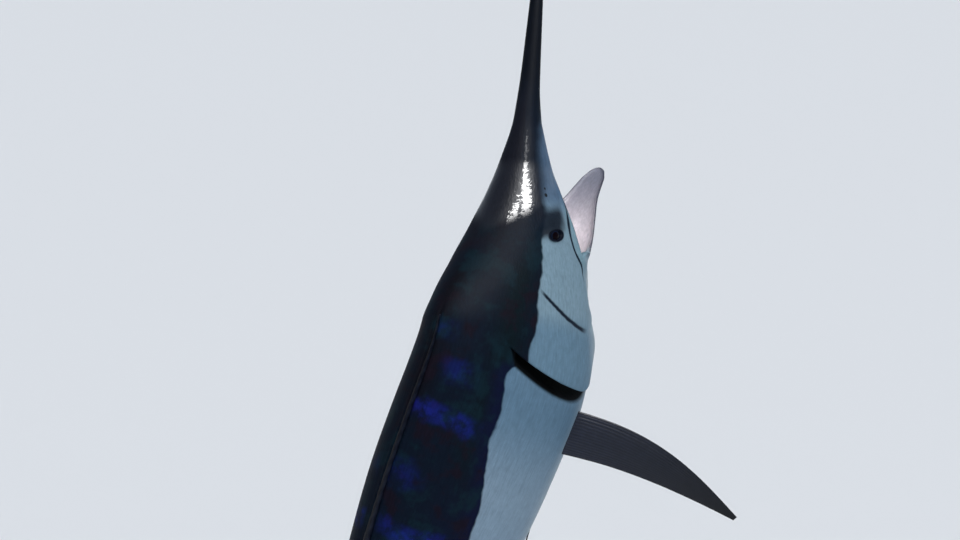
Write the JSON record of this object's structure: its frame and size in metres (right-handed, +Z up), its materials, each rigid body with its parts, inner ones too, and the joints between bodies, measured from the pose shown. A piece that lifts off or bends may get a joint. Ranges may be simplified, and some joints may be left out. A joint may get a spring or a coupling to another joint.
{
  "type": "blue marlin",
  "caption": "Life-size leaping blue marlin with its mouth open, dorsal fin folded and tail spread, held by two rods on a flat display base.",
  "frame": {"origin": "middle of the display base's underside, which stands on the floor", "axes": "+Z is up, +Y runs away from the picture's camera, and +X is to that camera's right; the fish leaps upward with its bill up and its back towards the camera"},
  "size_m": [1.4678, 1.8467, 3.6919],
  "materials": {
    "skin": "wet fish skin, blue-black above with cobalt bars and silver-blue below",
    "fin": "dark, satin, rayed fin skin",
    "eye": "wet, glossy, almost black",
    "stand_board": "satin black painted board",
    "stand_rod": "plain brushed steel"
  },
  "bodies": {
    "root": {"bill": "skin", "head": "skin", "lower_jaw": "skin", "eye_right": "eye", "eye_left": "eye", "gill_cover_right": "skin", "gill_cover_left": "skin", "trunk_front": "skin", "trunk_middle": "skin", "trunk_rear": "skin", "tail_stock": "skin", "tail_lobe_upper": "fin", "tail_lobe_lower": "fin", "first_dorsal_fin": "fin", "second_dorsal_fin": "fin", "first_anal_fin": "fin", "second_anal_fin": "fin", "pectoral_fin_right": "fin", "pectoral_fin_left": "fin", "pelvic_fin_right": "fin", "pelvic_fin_left": "fin", "stand_base": "stand_board", "stand_rod_front": "stand_rod", "stand_rod_rear": "stand_rod"}
  },
  "joints": []
}
